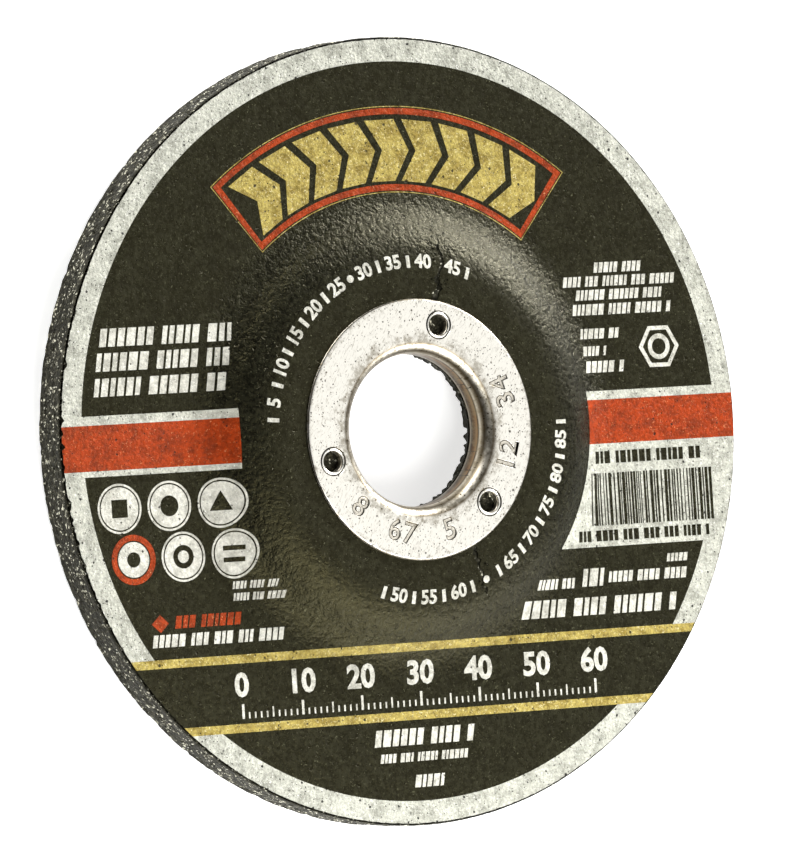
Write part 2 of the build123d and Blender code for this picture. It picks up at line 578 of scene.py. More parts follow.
def broken(x: float, y: float, z: float) -> float:
    """How deep the grit is broken away at a point, from zero to one."""
    near = noise.voronoi(Vector((x, y, z)) / 0.95)[0][0]
    lumps = 0.5 + 0.5 * noise.noise(Vector((x, y, z)) / 1.6)
    hole = min(max((noise.noise(Vector((x + 40, y, z)) / 1.1) - 0.28) / 0.2, 0.0), 1.0)
    return min(0.55 * min(near / 0.75, 1.0) * lumps * 1.6 + 0.75 * hole, 1.0)


def chipped(x: float, y: float) -> float:
    """How far the bore's lower corner is chipped away at a point round it, from zero to one."""
    coarse = noise.noise(Vector((x, y, 5.0)) / 1.25)
    sharp = noise.noise(Vector((x, y, 9.0)) / 0.55)
    return min(max(0.06 + 0.8 * coarse + 0.9 * sharp, 0.0), 1.0)


@dataclass(frozen=True)
class TurnedPoint:
    """A point of a turned outline, with how deep grit may break its surface and chips may take its corner off."""

    radius: float
    height: float
    grit: float = 0.0
    chip: float = 0.0


@dataclass(frozen=True)
class AbrasiveBody:
    """The moulded dish of grit and resin."""

    dish: Dish
    segments: int = 640
    rim_grit: float = 0.2
    rim_sink: float = 0.1
    rim_inset: float = 0.06
    face_grit: float = 0.35
    core_grit: float = 0.3
    core_chip: float = 0.55
    corner_r: float = 0.6
    back_edge: float = 0.45
    paper_gap: float = 0.02
    pit_r: float = 1.65
    pit_fall: float = 0.3
    pit_depth: float = 0.6
    pit_circle_r: float = 15.56
    pit_turn: float = 74.5
    pit_count: int = 3

    def outline(self) -> list[TurnedPoint]:
        """The section's closed outline, from the rim up, over the label side, down the bore and along the face."""
        dish, top_z, gap = self.dish, self.dish.rim_back_z, self.paper_gap
        wall_r, wall_top = dish.wheel_r - self.rim_inset, top_z - self.back_edge
        points: list[TurnedPoint] = []
        for step in range(5):
            turn = math.radians(22.5 * step)
            grit = self.face_grit + (self.rim_grit - self.face_grit) * step / 4
            radius = wall_r - self.corner_r * (1 - math.sin(turn))
            points.append(TurnedPoint(radius, self.corner_r * (1 - math.cos(turn)), grit))
        wall_rows = np.linspace(1.0, wall_top - 0.35, 12)
        points += [TurnedPoint(wall_r - self.rim_sink, z, self.rim_grit) for z in wall_rows]
        points += [
            TurnedPoint(wall_r - 0.02, wall_top + 0.12, 0.08),
            TurnedPoint(wall_r - 0.12, top_z - 0.06, 0.08),
            TurnedPoint(wall_r - 0.2, top_z, 0.06),
            TurnedPoint(wall_r - 0.27, top_z - 0.4),
            TurnedPoint(dish.label_r - 0.1, top_z - 0.4),
            TurnedPoint(dish.label_r - 0.2, top_z - gap),
        ]
        under_label = [56.2, 52, 46, 40, 37, 35.9, *np.linspace(35, 23.4, 11), 22.2, 20.5, 19, 18.2]
        points += [TurnedPoint(r, dish.back(r) - gap) for r in under_label]
        points += [TurnedPoint(r, dish.hub_back_z - gap) for r in np.linspace(17.6, 13.5, 16)]
        points += [TurnedPoint(r, z) for r, z in ((12.6, 9.9), (11.8, 9.0), (11.62, 7.0), (11.6, 6.05))]
        chips = [self.core_chip * share for share in (0, 0, 0.1, 0.25, 0.42, 0.6, 0.78, 0.92, 1)]
        core_rows = np.linspace(6.0, dish.hub_face_z, len(chips))
        points += [TurnedPoint(dish.core_r, z, self.core_grit, c) for z, c in zip(core_rows, chips)]
        points += [TurnedPoint(r, dish.hub_face_z, 0.2, c * self.core_chip) for r, c in ((11.5, 0.7), (12.1, 0.3))]
        face_rows = [*np.linspace(12.8, 22.3, 15), *np.linspace(22.9, 31.3, 15), *np.linspace(32.0, 56.4, 34)]
        points += [TurnedPoint(r, dish.face(r), self.face_grit) for r in face_rows]
        return points

    def pit_fall_at(self, x: float, y: float) -> float:
        """How far the hub is pressed down under the ring's pierced holes."""
        for number in range(self.pit_count):
            pit_x, pit_y = polar(self.pit_circle_r, self.pit_turn + number * 360 / self.pit_count)
            share = (self.pit_r + self.pit_fall - math.hypot(x - pit_x, y - pit_y)) / self.pit_fall
            if share > 0:
                return min(share, 1.0) * self.pit_depth
        return 0.0

    def build(self, finish: BondedGrit) -> Object:
        """Makes the body.

        Args:
            finish: Its finish.

        Returns:
            The piece.
        """
        outline = self.outline()
        rows = len(outline)
        points = turned_points([(p.radius, p.height) for p in outline], self.segments)
        for row, here in enumerate(outline):
            before, after = outline[row - 1], outline[(row + 1) % rows]
            run = Vector((after.radius - before.radius, after.height - before.height)).normalized()
            in_hub = 13.4 < here.radius < 17.7 and here.height > 10
            for step in range(self.segments):
                x, y, z = points[row * self.segments + step]
                if here.grit:
                    deep = here.grit * broken(x, y, z)
                    chip = here.chip * chipped(x, y) if here.chip else 0.0
                    spread = (here.radius - run.y * deep + 0.8 * chip) / here.radius
                    x, y, z = x * spread, y * spread, max(z + run.x * deep + 0.8 * chip, 0.0)
                elif in_hub:
                    z -= self.pit_fall_at(x, y)
                points[row * self.segments + step] = (x, y, z)
        faces = turned_faces(rows, self.segments)
        piece = make_piece("body_bonded_grit", points, faces, finish.build(), math.radians(70))
        dress(piece, Slot.ABRASIVE, "abrasive_body")
        return piece


def start_group(name: str, values: dict[str, float]) -> tuple[NodeTree, Node]:
    """Starts a Geometry Nodes group that takes a geometry and some named values.

    Args:
        name: The group's name.
        values: The values, by name.

    Returns:
        The group's tree and its input node.
    """
    tree = bpy.data.node_groups.new(name, "GeometryNodeTree")
    for way in ("INPUT", "OUTPUT"):
        tree.interface.new_socket("Geometry", in_out=way, socket_type="NodeSocketGeometry")
    for label, value in values.items():
        kind = "NodeSocketInt" if isinstance(value, int) else "NodeSocketFloat"
        tree.interface.new_socket(label, in_out="INPUT", socket_type=kind)
    return tree, add(tree, "NodeGroupInput")


def run_group(host: Object, made: Node, values: dict[str, float], material: Material) -> None:
    """Ends a Geometry Nodes group, and runs it on a host, whose mesh it replaces.

    Args:
        host: The object.
        made: The group's last node.
        values: The group's values, by name.
        material: The material of what it makes.
    """
    tree = made.id_data
    real = add(tree, "GeometryNodeRealizeInstances", (made,))
    dressed = add(tree, "GeometryNodeSetMaterial", {"Geometry": real, "Material": material})
    add(tree, "NodeGroupOutput", (dressed,))
    modifier = host.modifiers.new(tree.name, "NODES")
    modifier.node_group = tree
    for item in tree.interface.items_tree:
        if item.in_out == "INPUT" and item.name in values:
            modifier[item.identifier] = values[item.name]
    plain_mesh(host)


@dataclass(frozen=True)
class GrainScatter:
    """Loose-looking grains half sunk in a surface, scattered by Geometry Nodes."""

    SHADE = "grain_shade"

    name: str
    grain_r: float
    density: float
    seed: int

    def build(self, host: Object, material: Material) -> Object:
        """Scatters the grains over a host surface, which they replace.

        Args:
            host: The surface that the grains' middles lie on.
            material: The grains' material.

        Returns:
            The piece.
        """
        values = {"Grain radius": self.grain_r * MM, "Density": self.density / MM**2, "Seed": self.seed}
        tree, given = start_group(self.name, values)
        spread = {"Mesh": given, "Density": given.outputs["Density"], "Seed": given.outputs["Seed"]}
        spots = add(tree, "GeometryNodeDistributePointsOnFaces", spread)
        grain = add(tree, "GeometryNodeMeshIcoSphere", {"Radius": given.outputs["Grain radius"], "Subdivisions": 1})
        turned, sized = (
            add(tree, "FunctionNodeRandomValue", {0: least, 1: most, "Seed": seed}, data_type="FLOAT_VECTOR")
            for least, most, seed in (((0.0, 0.0, 0.0), 3 * (TURN,), 3), ((0.35, 0.35, 0.3), (1.0, 0.95, 0.85), 5))
        )
        laid = add(
            tree, "GeometryNodeInstanceOnPoints", {0: spots, "Instance": grain, "Rotation": turned, "Scale": sized}
        )
        shade = add(tree, "FunctionNodeRandomValue", {2: 0.0, 3: 1.0, "Seed": 7}, data_type="FLOAT")
        shades = {"Geometry": laid, "Name": self.SHADE, "Value": shade.outputs[1]}
        shaded = add(tree, "GeometryNodeStoreNamedAttribute", shades, data_type="FLOAT", domain="INSTANCE")
        run_group(host, shaded, values, material)
        dress(host, Slot.ABRASIVE)
        return host


def turned_band(name: str, outline: Sequence[Point], material: Material) -> Object:
    """Makes an open turned surface for grains to lie on."""
    segments = 240
    faces = turned_faces(len(outline), segments)[: (len(outline) - 1) * segments]
    return make_piece(name, turned_points(outline, segments), faces, material)


@dataclass(frozen=True)
class GlassNet:
    """The open glass-fibre net pressed into the working side."""

    dish: Dish
    pitch: float = 5.6
    strand_w: float = 1.15
    strand_t: float = 0.24
    turn: float = 24.0
    reach_r: float = 56.6
    clear_r: float = 12.4
    step: float = 0.9
    sink: float = 0.02
    weave_h: float = 0.16

    def strands(self) -> tuple[list[tuple[float, float, float]], list[tuple[int, int]]]:
        """Points and edges of the strands' middle lines, woven over and under."""
        points: list[tuple[float, float, float]] = []
        edges: list[tuple[int, int]] = []
        count = int(self.reach_r / self.pitch)
        cos, sin = math.cos(math.radians(self.turn)), math.sin(math.radians(self.turn))
        for way, line in ((way, line) for way in (0, 1) for line in range(-count, count + 1)):
            across = line * self.pitch + 0.35 * math.sin(line * 2.1 + way)
            half = math.sqrt(max(self.reach_r**2 - across**2, 0.0))
            steps = int(2 * half / self.step)
            linked = False
            for number in range(steps + 1):
                along = -half + 2 * half * number / max(steps, 1)
                sway = across + 0.25 * noise.noise(Vector((along / 9, line * 3.7, way * 5.0)))
                x, y = (along, sway) if way == 0 else (sway, along)
                x, y = x * cos - y * sin, x * sin + y * cos
                radius = math.hypot(x, y)
                if radius < self.clear_r or radius > self.reach_r:
                    linked = False
                    continue
                weave = 0.5 + 0.5 * math.cos(math.pi * (along / self.pitch + line + way))
                z = self.dish.face(radius) + self.strand_t / 2 + self.sink + self.weave_h * weave
                points.append((x, y, z))
                if linked:
                    edges.append((len(points) - 2, len(points) - 1))
                linked = True
        return points, edges

    def build(self, finish: GlassRoving) -> Object:
        """Makes the net: Geometry Nodes turn each middle line to a flat strand.

        Args:
            finish: Its finish.

        Returns:
            The piece.
        """
        points, edges = self.strands()
        mesh = bpy.data.meshes.new("face_glass_net")
        mesh.from_pydata((np.array(points) * MM).tolist(), edges, [])
        piece = in_scene("face_glass_net", mesh)
        values = {"Width": self.strand_w * MM, "Thickness": self.strand_t * MM}
        tree, given = start_group("glass_strands", values)
        paths = add(tree, "GeometryNodeMeshToCurve", (given,))
        upright = add(tree, "GeometryNodeSetCurveNormal", (paths,), mode="Z_UP")
        section = add(tree, "GeometryNodeCurvePrimitiveCircle", {"Resolution": 8, "Radius": 0.5})
        size = add(tree, "ShaderNodeCombineXYZ", (given.outputs["Width"], given.outputs["Thickness"], 1.0))
        flat = add(tree, "GeometryNodeTransform", {"Geometry": section, "Scale": size})
        sweep = {"Curve": upright, "Profile Curve": flat, "Fill Caps": True}
        run_group(piece, add(tree, "GeometryNodeCurveToMesh", sweep), values, finish.build())
        piece.data.shade_smooth()
        dress(piece, Slot.ABRASIVE)
        return piece


def circle(radius: float, count: int, middle: Point = (0.0, 0.0)) -> Loop:
    """Points round a circle."""
    turns = [TURN * i / count for i in range(count)]
    return [(middle[0] + radius * math.cos(t), middle[1] + radius * math.sin(t)) for t in turns]


def bar(x0: float, y0: float, x1: float, y1: float, slant: float = 0.0) -> Loop:
    """A rectangle between two corners, leaning right by its height times the slant."""
    lean = (y1 - y0) * slant
    return [(x0, y0), (x1, y0), (x1 + lean, y1), (x0 + lean, y1)]


def polar(radius: float, degrees: float) -> Point:
    """A point by its radius and its angle in degrees."""
    return (radius * math.cos(math.radians(degrees)), radius * math.sin(math.radians(degrees)))


def fine(loop: Loop, step: float) -> Loop:
    """The same loop, anticlockwise and with no side longer than a step."""
    area = sum(x0 * y1 - x1 * y0 for (x0, y0), (x1, y1) in zip(loop, loop[1:] + loop[:1]))
    if area < 0:
        loop = loop[::-1]
    out: Loop = []
    for (x0, y0), (x1, y1) in zip(loop, loop[1:] + loop[:1]):
        parts = max(1, math.ceil(math.hypot(x1 - x0, y1 - y0) / step))
        out += [(x0 + (x1 - x0) * k / parts, y0 + (y1 - y0) * k / parts) for k in range(parts)]
    return out


def arc_patch(in_r: float, out_r: float, start: float, end: float) -> Loop:
    """A patch between two radii and two angles in degrees."""
    steps = max(1, math.ceil(abs(end - start) / 1.5))
    angles = [start + (end - start) * i / steps for i in range(steps + 1)]
    return [polar(out_r, a) for a in angles] + [polar(in_r, a) for a in reversed(angles)]


def figures_mesh(text: str, size: float, **settings: float) -> Mesh:
    """Plain figures as a mesh in millimetres, centred on the origin.

    Args:
        text: The figures.
        size: Their size as type.
        **settings: Other properties of the text.

    Returns:
        The mesh.
    """
    curve = bpy.data.curves.new("figures", "FONT")
    curve.body, curve.size, curve.resolution_u = text, size, 3
    curve.align_x = curve.align_y = "CENTER"
    for key, value in settings.items():
        setattr(curve, key, value)
    holder = in_scene("figures", curve)
    mesh = evaluated_mesh(holder)
    bpy.data.objects.remove(holder)
    bpy.data.curves.remove(curve)
    return mesh


def figure_loops(text: str, height: float, place: Callable[[float, float], Point]) -> list[Loop]:
    """The outlines of plain figures, laid where a function says.

    Args:
        text: The figures.
        height: Their height in millimetres.
        place: Turns a point of the figures to a point of the label.

    Returns:
        One loop for each outline.
    """
    mesh = figures_mesh(text, height / 0.72, offset=0.045 * height)
    uses: dict[tuple[int, int], int] = {}
    for face in mesh.polygons:
        for key in face.edge_keys:
            uses[key] = uses.get(key, 0) + 1
    links: dict[int, list[int]] = {}
    for a, b in (key for key, count in uses.items() if count == 1):
        links.setdefault(a, []).append(b)
        links.setdefault(b, []).append(a)
    loops: list[Loop] = []
    unseen = set(links)
    while unseen:
        path = [min(unseen)]
        unseen.discard(path[0])
        while onward := [n for n in links[path[-1]] if n in unseen]:
            path.append(onward[0])
            unseen.discard(onward[0])
        loops.append([place(mesh.vertices[i].co.x, mesh.vertices[i].co.y) for i in path])
    bpy.data.meshes.remove(mesh)
    return loops


def on_line(x: float, y: float) -> Callable[[float, float], Point]:
    """Places figures upright round a point."""
    return lambda u, v: (x + u, y + v)


def on_ring(radius: float, degrees: float, inward: bool = False) -> Callable[[float, float], Point]:
    """Places figures on a circle round the axis.

    Args:
        radius: Radius of the figures' middle.
        degrees: Where on the circle.
        inward: Whether their tops point to the axis.

    Returns:
        A function from a figure's point to the point on the label.
    """
    cos, sin = polar(1.0, degrees)
    side = 1.0 if inward else -1.0

    def place(u: float, v: float) -> Point:
        """Where a figure's point lies on the label."""
        across, along = radius - side * v, side * u
        return (across * cos - along * sin, across * sin + along * cos)

    return place


class PrintedLabel:
    """The paper label: one sheet that follows the dish, and thin fields of ink on it.

    The print's fields and bars are where the real ones are. Its words, signs and maker's panel are not: in their
    places are plain blocks, figures, roundels and chevrons.
    """

    paper_t = 0.2
    ink_t = 0.03
    mark_t = 0.05
    hole_r = 17.6
    field_r = 53.8
    panel_in_r = 31.1
    relief_w = 7.0
    relief_h = 0.03
    roundels = ((-48.3, -8.8), (-40.1, -8.8), (-31.8, -8.8), (-38.3, -16.2), (-30.0, -16.2))
    lone_roundel = (-46.5, -16.2)
    nut = (44.8, 10.3)
    text_lines = (
        (-50.0, -28.6, 14.4, 17.0), (-50.8, -29.4, 10.9, 13.5), (-51.4, -30.2, 7.3, 9.9),
        (34.2, 42.6, 21.6, 23.1), (28.7, 48.4, 19.6, 21.1), (30.8, 46.2, 17.6, 19.1),
        (30.0, 47.6, 15.4, 17.0), (31.0, 38.2, 11.9, 13.4), (31.2, 35.4, 9.4, 10.8),
        (31.4, 38.8, 6.9, 8.6), (-30.5, -23.6, -21.3, -20.2), (-30.5, -22.4, -23.0, -21.9),
        (-44.3, -22.6, -29.0, -27.2), (43.8, 47.4, -21.5, -20.3), (20.5, 27.6, -24.5, -23.0),
        (28.8, 32.4, -24.4, -21.8), (33.4, 47.2, -24.0, -22.4), (17.8, 45.4, -28.6, -26.0),
        (-8.4, 8.6, -45.6, -43.2), (-7.6, 7.8, -48.0, -46.7), (-2.0, 3.0, -51.8, -50.0),
    )

    def __init__(self, dish: Dish) -> None:
        """Lays out the lattice that every sheet takes its inner points from."""
        self.dish = dish
        self.rng = random.Random(11)
        lattice: list[Point] = []
        radius, row = self.hole_r + 0.4, 0
        while radius < dish.label_r - 0.4:
            step = 0.55 if 21.6 < radius < 36.4 else 1.1
            count = int(TURN * radius / step)
            lattice += [polar(radius, 360 * (i + 0.5 * (row % 2)) / count) for i in range(count)]
            radius, row = radius + step * 0.87, row + 1
        self.lattice = np.array(lattice)

    def lift(self, x: float, y: float) -> float:
        """Height of the abrasive under the label at a point, with the slight waves of a baked sheet."""
        radius = math.hypot(x, y)
        fade = min(max((radius - 19.5) / 3, 0.0), 1.0)
        wave = noise.noise(Vector((x / self.relief_w, y / self.relief_w, 3.0)))
        return self.dish.back(radius) + self.relief_h * fade * wave

    def sheet(
        self,
        name: str,
        loops: dict[str, list[Loop]],
        keep: Callable[[set[str]], bool],
        low: float,
        high: float,
        material: Material,
    ) -> Object:
        """Makes a closed thin solid that follows the dish.

        Args:
            name: The piece's name.
            loops: Named groups of outlines. A point in an even number of one group's outlines is outside it.
            keep: Says from the groups that a point is in whether it belongs to the sheet.
            low: Height of the underside above the abrasive.
            high: Height of the top above the abrasive.
            material: Its material.

        Returns:
            The piece.
        """
        points: list[Point] = []
        rims: list[list[int]] = []
        owners: list[str] = []
        near = np.zeros(len(self.lattice), bool)
        for owner, loop in ((owner, loop) for owner, group in loops.items() for loop in group):
            path = fine(loop, 0.6)
            rims.append(list(range(len(points), len(points) + len(path))))
            owners.append(owner)
            points += path
            near |= np.all((self.lattice > np.min(path, 0)) & (self.lattice < np.max(path, 0)), 1)
        points += [tuple(p) for p in self.lattice[near]]
        flat, _, triangles, _, _, inside = delaunay_2d_cdt([Vector(p) for p in points], [], rims, 1, 1e-5)
        kept = []
        for corners, within in zip(triangles, inside):
            odd: set[str] = set()
            for number in within:
                odd ^= {owners[number]}
            if keep(odd):
                kept.append(corners)
        used = sorted({i for corners in kept for i in corners})
        number_of = {old: new for new, old in enumerate(used)}
        level = [(flat[i].x, flat[i].y, self.lift(flat[i].x, flat[i].y)) for i in used]
        solid = [(x, y, z + height) for height in (high, low) for x, y, z in level]
        count = len(used)
        faces: list[tuple[int, ...]] = []
        sides: dict[tuple[int, int], bool] = {}
        for a, b, c in ([number_of[i] for i in corners] for corners in kept):
            faces += [(a, b, c), (c + count, b + count, a + count)]
            sides.update({(a, b): True, (b, c): True, (c, a): True})
        faces += [(b, a, a + count, b + count) for a, b in sides if (b, a) not in sides]
        return make_piece(name, np.array(solid), faces, material, math.radians(40))

    def ragged_edge(self) -> Loop:
        """The label's outer edge, bitten here and there where the grit broke through."""
        loop: Loop = []
        count = 1100
        for turn in (360 * i / count for i in range(count)):
            x, y = polar(self.dish.label_r, turn)
            wear = max(1 - abs(turn - 183) / 32, 0.0)
            bite = max(noise.noise(Vector((x / 0.95, y / 0.95, 8.0))) - 0.05, 0.0)
            ripple = (0.05 + 0.1 * wear) * abs(noise.noise(Vector((x / 0.7, y / 0.7, 2.0))))
            loop.append(polar(self.dish.label_r - ripple - bite * (0.12 + 1.0 * wear), turn))
        return loop

    def crack(self, degrees: float, start_r: float, end_r: float, width: float) -> Loop:
        """A ragged tear that runs outward from the ring.

        Args:
            degrees: Its direction from the axis.
            start_r: Radius where it starts, under the ring.
            end_r: Radius where it ends in a point.
            width: Its width at the ring.

        Returns:
            Its outline.
        """
        left: Loop = []
        right: Loop = []
        steps = int((end_r - start_r) / 0.45)
        wander = 0.0
        for i in range(steps + 1):
            radius = start_r + (end_r - start_r) * i / steps
            wander = 0.8 * (wander + self.rng.uniform(-1.0, 1.0) * 26 / radius)
            half = width * (1 - i / steps) ** 0.6 * self.rng.uniform(0.35, 1.0) / 2
            spread = math.degrees(half / radius)
            left.append(polar(radius, degrees + wander + spread))
            right.append(polar(radius, degrees + wander - spread))
        return left + right[::-1]

    def crumbs(self, degrees: float, start_r: float, end_r: float, count: int) -> list[Loop]:
        """Small holes where bits of paper have fallen off beside a tear.

        Args:
            degrees: The tear's direction from the axis.
            start_r: Radius where the holes start.
            end_r: Radius where they end.
            count: How many there are.

        Returns:
            Their outlines.
        """
        loops: list[Loop] = []
        for _ in range(count):
            radius = self.rng.uniform(start_r, end_r)
            side = self.rng.choice((-1, 1)) * self.rng.uniform(0.5, 1.9)
            mid_x, mid_y = polar(radius, degrees + math.degrees(side / radius))
            size, turn = self.rng.uniform(0.1, 0.24), self.rng.uniform(0, 60)
            corners = [polar(size * self.rng.uniform(0.6, 1.3), turn + 60 * i) for i in range(6)]
            loops.append([(mid_x + x, mid_y + y) for x, y in corners])
        return loops

    def block_line(self, x0: float, x1: float, y0: float, y1: float, slant: float = 0.18) -> list[Loop]:
        """A line of print turned to plain slanted blocks in groups.

        Args:
            x0: Left end.
            x1: Right end.
            y0: Foot of the line.
            y1: Top of the line.
            slant: How far the blocks lean.

        Returns:
            One loop for each block.
        """
        height = y1 - y0
        loops: list[Loop] = []
        x = x0
        left_in_group = self.rng.randint(3, 6)
        while x < x1 - 0.2 * height:
            width = height * self.rng.choice((0.3, 0.42, 0.42, 0.54))
            loops.append(bar(x, y0, min(x + width, x1), y1, slant))
            x += width + 0.15 * height
            left_in_group -= 1
            if not left_in_group:
                x += 0.42 * height
                left_in_group = self.rng.randint(3, 6)
        return loops

    def fields(self) -> dict[str, list[Loop]]:
        """Outlines of the label's large fields of colour."""
        return {
            "sheet": [self.ragged_edge()],
            "field": [circle(self.field_r, 720)],
            "left_bar": [bar(-58, -3.27, -29.0, 3.28)],
            "left_strips": [bar(-58, -4.1, -29.0, 4.6)],
            "right_bar": [bar(30, -3.58, 58, 2.91)],
            "right_panel": [bar(25, -18.7, 58, 4.2)],
            "panel_arc": [circle(self.panel_in_r, 360)],
            "band": [bar(-58, -41.98, 58, -30.78)],
            "high_line": [bar(-58, -32.02, 58, -30.77)],
            "low_line": [bar(-58, -41.99, 58, -40.73)],
        }

    def chevrons(self) -> list[Loop]:
        """Plain gold chevrons along an arc above the hub."""
        loops: list[Loop] = []
        in_r, middle_r, out_r = 36.4, 40.9, 45.4
        tip, width, pitch = 3.4, 6.3, 8.0
        for number in range(9):
            lead = 90 - 4 * pitch + number * pitch - width / 2 - tip / 2 + 0.4
            outline = [(in_r, lead), (middle_r, lead + tip), (out_r, lead)]
            outline += [(r, a + width) for r, a in reversed(outline)]
            loops.append([polar(r, 180 - a) for r, a in outline])
        return loops

    def roundel(self, x: float, y: float, motif: int) -> list[Loop]:
        """A light roundel with a dark line inside it and one plain motif.

        Args:
            x: Its middle.
            y: Its middle.
            motif: Which plain shape it holds.

        Returns:
            Loops for the light ink.
        """
        shapes: tuple[list[Loop], ...] = (
            [bar(x - 1.3, y - 1.3, x + 1.3, y + 1.3)],
            [circle(1.5, 36, (x, y))],
            [[(x - 1.7, y - 1.1), (x + 1.7, y - 1.1), (x, y + 1.8)]],
            [circle(1.7, 36, (x, y)), circle(0.9, 24, (x, y))],
            [bar(x - 1.7, y + 0.5, x + 1.7, y + 1.2), bar(x - 1.7, y - 1.2, x + 1.7, y - 0.5)],
        )
        return [circle(r, n, (x, y)) for r, n in ((3.6, 72), (3.3, 64), (3.08, 64))] + shapes[motif]

    def dial(self) -> list[Loop]:
        """The dial round the hub: short ticks, plain figures and two dots."""
        loops: list[Loop] = []
        figure = 5
        for start, step, inward in ((174, -3, False), (-108, 3, True)):
            for i, turn in ((i, start + step * i) for i in range(37)):
                if 75 < turn < 81 or -70 < turn < -62 or turn == 114:
                    continue
                if i % 4 == 2:
                    loops += figure_loops(str(figure), 2.0, on_ring(24.4, turn, inward))
                    figure += 5
                elif i % 4 == 0:
                    loops.append(arc_patch(23.5, 25.3, turn - 0.7, turn + 0.7))
        return loops + [circle(0.55, 24, polar(24.4, turn)) for turn in (114, -66)]

    def scale_marks(self) -> list[Loop]:
        """A plain scale between the gold lines: a tick each millimetre and a figure each ten."""
        loops: list[Loop] = []
        foot = -40.0
        for number in range(61):
            x = number - 30
            tall, wide = (2.1, 0.2) if number % 10 == 0 else (1.5 if number % 5 == 0 else 0.9, 0.13)
            loops.append(bar(x - wide, foot, x + wide, foot + tall))
            if number % 10 == 0:
                loops += figure_loops(str(number), 3.4, on_line(x, -35.3))
        return loops

    def light_marks(self) -> list[Loop]:
        """Every light mark on the black ground."""
        loops = self.dial() + self.scale_marks()
        for line in self.text_lines:
            loops += self.block_line(*line)
        for motif, (x, y) in enumerate(self.roundels):
            loops += self.roundel(x, y, motif)
        loops += [circle(r, n, self.lone_roundel) for r, n in ((2.55, 64), (1.1, 36))]
        # A nut's outline where a sign was
        return loops + [circle(r, n, self.nut) for r, n in ((3.5, 6), (2.8, 6), (1.9, 40), (1.2, 32))]

    def dark_marks(self) -> list[Loop]:
        """Dark marks on the light panel: a line of blocks and made-up stripes."""
        loops = self.block_line(32.2, 51.4, -6.5, -4.7, 0.0)
        x = 31.2
        while x < 52.3:
            width = self.rng.choice((0.14, 0.22, 0.22, 0.36, 0.5))
            loops.append(bar(x, -15.6, min(x + width, 52.6), -7.9))
            x += width + self.rng.choice((0.14, 0.2, 0.3, 0.42))
        return loops + self.block_line(28.6, 51.6, -17.9, -16.3, 0.0)

    def orange_marks(self) -> list[Loop]:
        """Thin orange print: the chevrons' frame, one roundel's ring, a lozenge and a line of blocks."""
        loops = [arc_patch(35.0, 47.0, 51.0, 129.0), arc_patch(35.9, 46.1, 52.2, 127.8)]
        loops += [circle(r, n, self.lone_roundel) for r, n in ((3.6, 72), (2.75, 64))]
        loops.append([(-44.2, -25.6), (-42.8, -26.9), (-41.4, -25.6), (-42.8, -24.3)])
        return loops + self.block_line(-40.4, -28.8, -26.4, -24.6)

    def build(self) -> None:
        """Makes the label's sheets."""
        black = InkOnPaper(
            "black_ink_on_blotter", "#191912", "#0f0f0b", "#030302", "#6a6a54", 0.28, 0.24, "#f4e8a4", 0.6,
            fleck_level=0.68, relief=0.1, grain_w=0.6, crease=1.1,
        ).build()
        light = InkOnPaper(
            "bare_blotter_paper", "#bbbbae", "#96968a", "#1d1b17", "#e4e3db", 0.6, 0.15, contrast=0.22,
            pit_r=0.18, pit_share=0.8, relief=0.22,
        ).build()
        white = InkOnPaper(
            "white_ink_on_blotter", "#cbc9bd", "#a4a296", "#2a2822", "#e8e7df", 0.6, 0.15, contrast=0.2,
            pit_r=0.16, pit_share=0.25, relief=0.14,
        ).build()
        orange = InkOnPaper(
            "orange_ink_on_blotter", "#983207", "#762505", "#2a1108", "#d08a5c", 0.45, 0.2, "#fff0cc",
            pit_r=0.16, fleck_level=0.66, relief=0.16,
        ).build()
        gold = InkOnPaper(
            "gold_ink_on_blotter", "#a5944e", "#7c6a2d", "#2e2713", "#ddd3a4", 0.4, 0.2, "#fff6cc", 0.34,
            pit_r=0.2, pit_share=0.55, relief=0.16,
        ).build()

        def on_bars(at: set[str]) -> bool:
            """Whether a place is on an orange bar."""
            return "left_bar" in at or ("right_bar" in at and "panel_arc" not in at)

        def is_orange(at: set[str]) -> bool:
            """Whether a place has orange ink."""
            return "sheet" in at and (on_bars(at) or "marks" in at)

        def is_gold(at: set[str]) -> bool:
            """Whether a place has gold ink."""
            return "sheet" in at and bool(at & {"high_line", "low_line", "marks"})

        def is_light(at: set[str]) -> bool:
            """Whether a place is light."""
            panel = "right_panel" in at and "panel_arc" not in at
            pale = "field" not in at or panel or "left_strips" in at
            return pale and "sheet" in at and "band" not in at and not on_bars(at)

